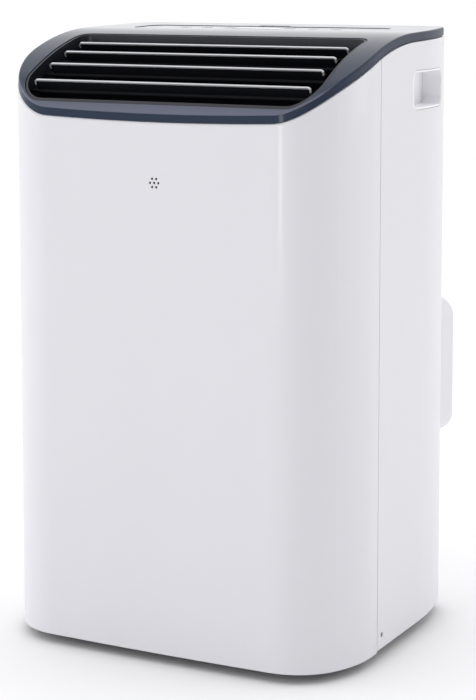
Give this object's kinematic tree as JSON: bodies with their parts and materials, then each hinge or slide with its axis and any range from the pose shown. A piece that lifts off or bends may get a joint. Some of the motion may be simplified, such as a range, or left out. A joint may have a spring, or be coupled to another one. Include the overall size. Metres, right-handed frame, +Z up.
{
  "type": "portable air conditioner",
  "caption": "Tall rounded white cabinet air conditioner on casters with a dark sloping top, silver-edged louvres, side handles and a square rear exhaust hood.",
  "frame": {"origin": "centre of the bounding box on the floor plane under the caster wheels", "axes": "+Z up, front with the sensor holes towards -Y, exhaust hood towards +Y, +X to the right seen from the front"},
  "size_m": [0.446, 0.401, 0.7197],
  "materials": {
    "white_shell": "semi-gloss white moulding",
    "navy_cover": "semi-gloss dark navy moulding",
    "black_liner": "satin near-black moulding",
    "blade_navy": "semi-gloss dark blue blade",
    "silver_trim": "metallic silver lacquer on plastic",
    "key_grey": "satin light grey key",
    "dark_window": "polished smoked window",
    "filter_grey": "fine nylon mesh in a frame",
    "inner_plastic": "plain dark inner moulding",
    "base_plastic": "light grey base moulding",
    "motor_steel": "zinc-plated sheet steel",
    "compressor_paint": "black enamel",
    "coil_aluminium": "bright aluminium fins",
    "pipe_copper": "bare copper pipe",
    "board_green": "circuit board",
    "screw_steel": "zinc-plated screw",
    "black_rubber": "moulded rubber",
    "caster_black": "black nylon"
  },
  "bodies": {
    "cabinet": {"base_pan": "base_plastic", "compressor": "compressor_paint", "compressor_grommets": "black_rubber", "condenser": "coil_aluminium", "control_board": "board_green", "control_panel": "black_liner", "cord_gland": "black_liner", "discharge_pipe": "pipe_copper", "display_window": "dark_window", "electrical_box": "motor_steel", "evaporator": "coil_aluminium", "exhaust_fan_housing": "inner_plastic", "exhaust_hood": "white_shell", "exhaust_motor": "motor_steel", "front_panel": "white_shell", "front_sensor": "inner_plastic", "liquid_line": "pipe_copper", "louvre_motor": "motor_steel", "lower_grille": "white_shell", "mid_deck": "inner_plastic", "outlet_frame": "black_liner", "outlet_guard": "black_liner", "rear_housing": "white_shell", "remote_receiver_window": "dark_window", "side_handle_left": "white_shell", "side_handle_right": "white_shell", "side_screws": "screw_steel", "suction_pipe": "pipe_copper", "supply_blower_housing": "inner_plastic", "supply_motor": "motor_steel", "top_cover": "navy_cover"},
    "louvre_1": {"louvre_blade_1": "blade_navy", "louvre_trim_1": "silver_trim"},
    "louvre_2": {"louvre_blade_2": "blade_navy", "louvre_trim_2": "silver_trim"},
    "louvre_3": {"louvre_blade_3": "blade_navy", "louvre_trim_3": "silver_trim"},
    "louvre_4": {"louvre_blade_4": "blade_navy", "louvre_trim_4": "silver_trim"},
    "tie_bar": {"louvre_tie_bar": "black_liner"},
    "supply_fan": {"supply_blower_wheel": "inner_plastic"},
    "exhaust_fan": {"exhaust_fan_wheel": "inner_plastic"},
    "power_button_key": {"power_button": "key_grey"},
    "mode_button_key": {"mode_button": "key_grey"},
    "timer_button_key": {"timer_button": "key_grey"},
    "fan_speed_button_key": {"fan_speed_button": "key_grey"},
    "temperature_down_button_key": {"temperature_down_button": "key_grey"},
    "temperature_up_button_key": {"temperature_up_button": "key_grey"},
    "rear_door": {"intake_door": "white_shell", "air_filter": "filter_grey"},
    "drain_cap": {"lower_drain_cap": "black_liner"},
    "drain_plug": {"upper_drain_plug": "black_rubber"},
    "fork_front_left": {"caster_fork_front_left": "caster_black"},
    "wheels_front_left": {"caster_wheels_front_left": "caster_black"},
    "fork_front_right": {"caster_fork_front_right": "caster_black"},
    "wheels_front_right": {"caster_wheels_front_right": "caster_black"},
    "fork_rear_left": {"caster_fork_rear_left": "caster_black"},
    "wheels_rear_left": {"caster_wheels_rear_left": "caster_black"},
    "fork_rear_right": {"caster_fork_rear_right": "caster_black"},
    "wheels_rear_right": {"caster_wheels_rear_right": "caster_black"}
  },
  "joints": [
    {"name": "louvre_swing", "type": "hinge", "parent": "cabinet", "child": "louvre_2", "pos_m": [0, -0.12963, 0.6647], "axis": [1, 0, 0], "range_deg": [-20, 30]},
    {"name": "louvre_1_pivot", "type": "hinge", "parent": "cabinet", "child": "louvre_1", "pos_m": [0, -0.16193, 0.64739], "axis": [1, 0, 0], "range_deg": [-20, 30]},
    {"name": "louvre_3_pivot", "type": "hinge", "parent": "cabinet", "child": "louvre_3", "pos_m": [0, -0.09733, 0.6774], "axis": [1, 0, 0], "range_deg": [-20, 30]},
    {"name": "louvre_4_pivot", "type": "hinge", "parent": "cabinet", "child": "louvre_4", "pos_m": [0, -0.06503, 0.68659], "axis": [1, 0, 0], "range_deg": [-20, 30]},
    {"name": "tie_bar_pivot", "type": "hinge", "parent": "louvre_2", "child": "tie_bar", "pos_m": [-0.187, -0.12399, 0.6541], "axis": [1, 0, 0], "range_deg": [-30, 20]},
    {"name": "supply_fan_spin", "type": "hinge", "parent": "cabinet", "child": "supply_fan", "pos_m": [0, -0.0255, 0.5], "axis": [1, 0, 0], "continuous": true},
    {"name": "exhaust_fan_spin", "type": "hinge", "parent": "cabinet", "child": "exhaust_fan", "pos_m": [0.115, 0.0145, 0.29], "axis": [1, 0, 0], "continuous": true},
    {"name": "power_button_press", "type": "slide", "parent": "cabinet", "child": "power_button_key", "axis": [0, 0.0279, -0.9996], "range_m": [0, 0.0012], "stiffness_N_per_m": 300},
    {"name": "mode_button_press", "type": "slide", "parent": "cabinet", "child": "mode_button_key", "axis": [0, 0.0279, -0.9996], "range_m": [0, 0.0012], "stiffness_N_per_m": 300},
    {"name": "timer_button_press", "type": "slide", "parent": "cabinet", "child": "timer_button_key", "axis": [0, 0.0279, -0.9996], "range_m": [0, 0.0012], "stiffness_N_per_m": 300},
    {"name": "fan_speed_button_press", "type": "slide", "parent": "cabinet", "child": "fan_speed_button_key", "axis": [0, 0.0279, -0.9996], "range_m": [0, 0.0012], "stiffness_N_per_m": 300},
    {"name": "temperature_down_button_press", "type": "slide", "parent": "cabinet", "child": "temperature_down_button_key", "axis": [0, 0.0279, -0.9996], "range_m": [0, 0.0012], "stiffness_N_per_m": 300},
    {"name": "temperature_up_button_press", "type": "slide", "parent": "cabinet", "child": "temperature_up_button_key", "axis": [0, 0.0279, -0.9996], "range_m": [0, 0.0012], "stiffness_N_per_m": 300},
    {"name": "rear_door_hinge", "type": "hinge", "parent": "cabinet", "child": "rear_door", "pos_m": [0, 0.1445, 0.424], "axis": [-1, 0, 0], "range_deg": [0, 60]},
    {"name": "drain_cap_pull", "type": "slide", "parent": "cabinet", "child": "drain_cap", "axis": [0, 1, 0], "range_m": [0, 0.022]},
    {"name": "drain_plug_pull", "type": "slide", "parent": "cabinet", "child": "drain_plug", "axis": [0, 1, 0], "range_m": [0, 0.022]},
    {"name": "front_left_swivel", "type": "hinge", "parent": "cabinet", "child": "fork_front_left", "pos_m": [-0.15, -0.1265, 0.03], "axis": [0, 0, 1], "continuous": true},
    {"name": "front_left_roll", "type": "hinge", "parent": "fork_front_left", "child": "wheels_front_left", "pos_m": [-0.15, -0.1145, 0.018], "axis": [1, 0, 0], "continuous": true},
    {"name": "front_right_swivel", "type": "hinge", "parent": "cabinet", "child": "fork_front_right", "pos_m": [0.15, -0.1265, 0.03], "axis": [0, 0, 1], "continuous": true},
    {"name": "front_right_roll", "type": "hinge", "parent": "fork_front_right", "child": "wheels_front_right", "pos_m": [0.15, -0.1145, 0.018], "axis": [1, 0, 0], "continuous": true},
    {"name": "rear_left_swivel", "type": "hinge", "parent": "cabinet", "child": "fork_rear_left", "pos_m": [-0.15, 0.0755, 0.03], "axis": [0, 0, 1], "continuous": true},
    {"name": "rear_left_roll", "type": "hinge", "parent": "fork_rear_left", "child": "wheels_rear_left", "pos_m": [-0.15, 0.0875, 0.018], "axis": [1, 0, 0], "continuous": true},
    {"name": "rear_right_swivel", "type": "hinge", "parent": "cabinet", "child": "fork_rear_right", "pos_m": [0.15, 0.0755, 0.03], "axis": [0, 0, 1], "continuous": true},
    {"name": "rear_right_roll", "type": "hinge", "parent": "fork_rear_right", "child": "wheels_rear_right", "pos_m": [0.15, 0.0875, 0.018], "axis": [1, 0, 0], "continuous": true}
  ],
  "couplings": [
    {"joint": "louvre_1_pivot", "follows": "louvre_swing", "ratio": 1},
    {"joint": "louvre_3_pivot", "follows": "louvre_swing", "ratio": 1},
    {"joint": "louvre_4_pivot", "follows": "louvre_swing", "ratio": 1},
    {"joint": "tie_bar_pivot", "follows": "louvre_swing", "ratio": -1}
  ]
}
